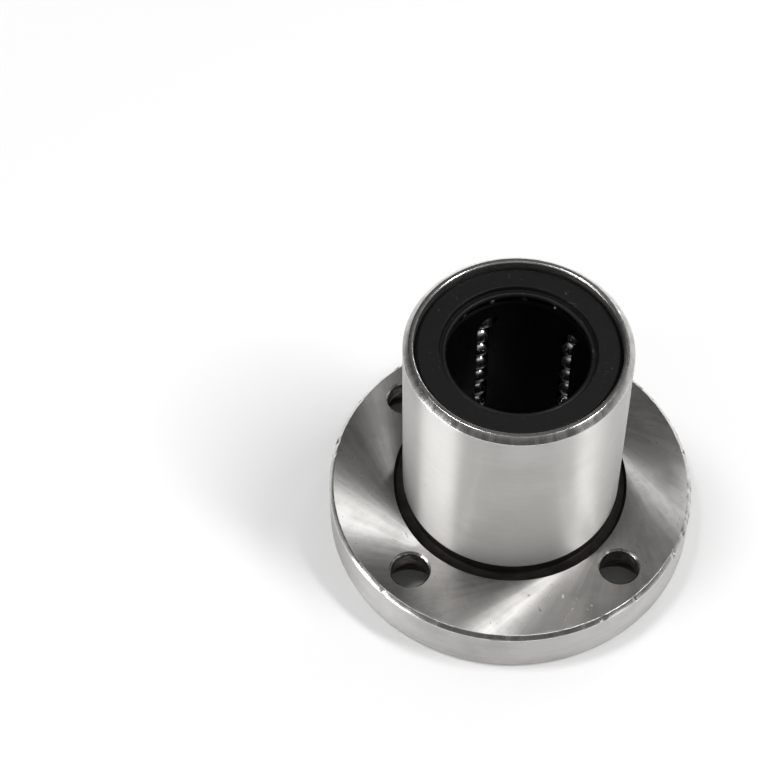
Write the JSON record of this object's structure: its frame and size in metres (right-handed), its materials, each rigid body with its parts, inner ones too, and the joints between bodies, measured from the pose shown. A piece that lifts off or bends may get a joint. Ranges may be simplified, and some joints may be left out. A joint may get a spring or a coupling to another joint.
{
  "type": "flanged linear bearing",
  "caption": "Round-flanged linear ball bearing: ground steel sleeve, counterbored flange screw holes, black end seals and a moulded retainer whose balls recirculate along a shaft.",
  "frame": {"origin": "centre of the bore in the flange's front face, the face with the counterbores, on which the bearing stands", "axes": "+Z along the bore, from the flange towards the plain end of the sleeve; the screw holes lie on the diagonals between +X and +Y"},
  "size_m": [0.054, 0.054, 0.042],
  "materials": {
    "sleeve_steel": "ground and turned bearing steel, satin",
    "ball_steel": "polished hardened steel balls",
    "retainer_resin": "black moulded resin",
    "ring_steel": "pressed steel ring",
    "seal_rubber": "black moulded rubber, satin"
  },
  "bodies": {
    "housing": {"outer_sleeve": "sleeve_steel", "ball_retainer": "retainer_resin", "lower_end_ring": "ring_steel", "upper_end_ring": "ring_steel", "lower_seal": "seal_rubber", "upper_seal": "seal_rubber"},
    "loaded_balls_1": {"loaded_balls_1": "ball_steel"},
    "return_balls_1": {"return_balls_1": "ball_steel"},
    "upper_turn_balls_1": {"upper_turn_balls_1": "ball_steel"},
    "lower_turn_balls_1": {"lower_turn_balls_1": "ball_steel"},
    "loaded_balls_2": {"loaded_balls_2": "ball_steel"},
    "return_balls_2": {"return_balls_2": "ball_steel"},
    "upper_turn_balls_2": {"upper_turn_balls_2": "ball_steel"},
    "lower_turn_balls_2": {"lower_turn_balls_2": "ball_steel"},
    "loaded_balls_3": {"loaded_balls_3": "ball_steel"},
    "return_balls_3": {"return_balls_3": "ball_steel"},
    "upper_turn_balls_3": {"upper_turn_balls_3": "ball_steel"},
    "lower_turn_balls_3": {"lower_turn_balls_3": "ball_steel"},
    "loaded_balls_4": {"loaded_balls_4": "ball_steel"},
    "return_balls_4": {"return_balls_4": "ball_steel"},
    "upper_turn_balls_4": {"upper_turn_balls_4": "ball_steel"},
    "lower_turn_balls_4": {"lower_turn_balls_4": "ball_steel"},
    "loaded_balls_5": {"loaded_balls_5": "ball_steel"},
    "return_balls_5": {"return_balls_5": "ball_steel"},
    "upper_turn_balls_5": {"upper_turn_balls_5": "ball_steel"},
    "lower_turn_balls_5": {"lower_turn_balls_5": "ball_steel"}
  },
  "joints": [
    {"name": "loaded_run_1", "type": "slide", "parent": "housing", "child": "loaded_balls_1", "axis": [0, 0, 1], "range_m": [-0.00162, 0.00162]},
    {"name": "return_run_1", "type": "slide", "parent": "housing", "child": "return_balls_1", "axis": [0, 0, 1], "range_m": [-0.00162, 0.00162]},
    {"name": "upper_turn_1", "type": "hinge", "parent": "housing", "child": "upper_turn_balls_1", "pos_m": [-0.00284, 0.01159, 0.03238], "axis": [-0.4695, 0.8829, 0], "range_deg": [-45, 45]},
    {"name": "lower_turn_1", "type": "hinge", "parent": "housing", "child": "lower_turn_balls_1", "pos_m": [-0.00284, 0.01159, 0.00962], "axis": [-0.4695, 0.8829, 0], "range_deg": [-45, 45]},
    {"name": "loaded_run_2", "type": "slide", "parent": "housing", "child": "loaded_balls_2", "axis": [0, 0, 1], "range_m": [-0.00162, 0.00162]},
    {"name": "return_run_2", "type": "slide", "parent": "housing", "child": "return_balls_2", "axis": [0, 0, 1], "range_m": [-0.00162, 0.00162]},
    {"name": "upper_turn_2", "type": "hinge", "parent": "housing", "child": "upper_turn_balls_2", "pos_m": [-0.0119, 0.00088, 0.03238], "axis": [-0.9848, -0.1736, 0], "range_deg": [-45, 45]},
    {"name": "lower_turn_2", "type": "hinge", "parent": "housing", "child": "lower_turn_balls_2", "pos_m": [-0.0119, 0.00088, 0.00962], "axis": [-0.9848, -0.1736, 0], "range_deg": [-45, 45]},
    {"name": "loaded_run_3", "type": "slide", "parent": "housing", "child": "loaded_balls_3", "axis": [0, 0, 1], "range_m": [-0.00162, 0.00162]},
    {"name": "return_run_3", "type": "slide", "parent": "housing", "child": "return_balls_3", "axis": [0, 0, 1], "range_m": [-0.00162, 0.00162]},
    {"name": "upper_turn_3", "type": "hinge", "parent": "housing", "child": "upper_turn_balls_3", "pos_m": [-0.00451, -0.01105, 0.03238], "axis": [-0.1392, -0.9903, 0], "range_deg": [-45, 45]},
    {"name": "lower_turn_3", "type": "hinge", "parent": "housing", "child": "lower_turn_balls_3", "pos_m": [-0.00451, -0.01105, 0.00962], "axis": [-0.1392, -0.9903, 0], "range_deg": [-45, 45]},
    {"name": "loaded_run_4", "type": "slide", "parent": "housing", "child": "loaded_balls_4", "axis": [0, 0, 1], "range_m": [-0.00162, 0.00162]},
    {"name": "return_run_4", "type": "slide", "parent": "housing", "child": "return_balls_4", "axis": [0, 0, 1], "range_m": [-0.00162, 0.00162]},
    {"name": "upper_turn_4", "type": "hinge", "parent": "housing", "child": "upper_turn_balls_4", "pos_m": [0.00911, -0.00771, 0.03238], "axis": [0.8988, -0.4384, 0], "range_deg": [-45, 45]},
    {"name": "lower_turn_4", "type": "hinge", "parent": "housing", "child": "lower_turn_balls_4", "pos_m": [0.00911, -0.00771, 0.00962], "axis": [0.8988, -0.4384, 0], "range_deg": [-45, 45]},
    {"name": "loaded_run_5", "type": "slide", "parent": "housing", "child": "loaded_balls_5", "axis": [0, 0, 1], "range_m": [-0.00162, 0.00162]},
    {"name": "return_run_5", "type": "slide", "parent": "housing", "child": "return_balls_5", "axis": [0, 0, 1], "range_m": [-0.00162, 0.00162]},
    {"name": "upper_turn_5", "type": "hinge", "parent": "housing", "child": "upper_turn_balls_5", "pos_m": [0.01015, 0.00629, 0.03238], "axis": [0.6947, 0.7193, 0], "range_deg": [-45, 45]},
    {"name": "lower_turn_5", "type": "hinge", "parent": "housing", "child": "lower_turn_balls_5", "pos_m": [0.01015, 0.00629, 0.00962], "axis": [0.6947, 0.7193, 0], "range_deg": [-45, 45]}
  ],
  "couplings": [
    {"joint": "return_run_1", "follows": "loaded_run_1", "ratio": -1},
    {"joint": "upper_turn_1", "follows": "loaded_run_1", "rad_per_m": 483.32},
    {"joint": "lower_turn_1", "follows": "loaded_run_1", "rad_per_m": 483.32},
    {"joint": "return_run_2", "follows": "loaded_run_2", "ratio": -1},
    {"joint": "upper_turn_2", "follows": "loaded_run_2", "rad_per_m": 483.32},
    {"joint": "lower_turn_2", "follows": "loaded_run_2", "rad_per_m": 483.32},
    {"joint": "return_run_3", "follows": "loaded_run_3", "ratio": -1},
    {"joint": "upper_turn_3", "follows": "loaded_run_3", "rad_per_m": 483.32},
    {"joint": "lower_turn_3", "follows": "loaded_run_3", "rad_per_m": 483.32},
    {"joint": "return_run_4", "follows": "loaded_run_4", "ratio": -1},
    {"joint": "upper_turn_4", "follows": "loaded_run_4", "rad_per_m": 483.32},
    {"joint": "lower_turn_4", "follows": "loaded_run_4", "rad_per_m": 483.32},
    {"joint": "return_run_5", "follows": "loaded_run_5", "ratio": -1},
    {"joint": "upper_turn_5", "follows": "loaded_run_5", "rad_per_m": 483.32},
    {"joint": "lower_turn_5", "follows": "loaded_run_5", "rad_per_m": 483.32}
  ]
}
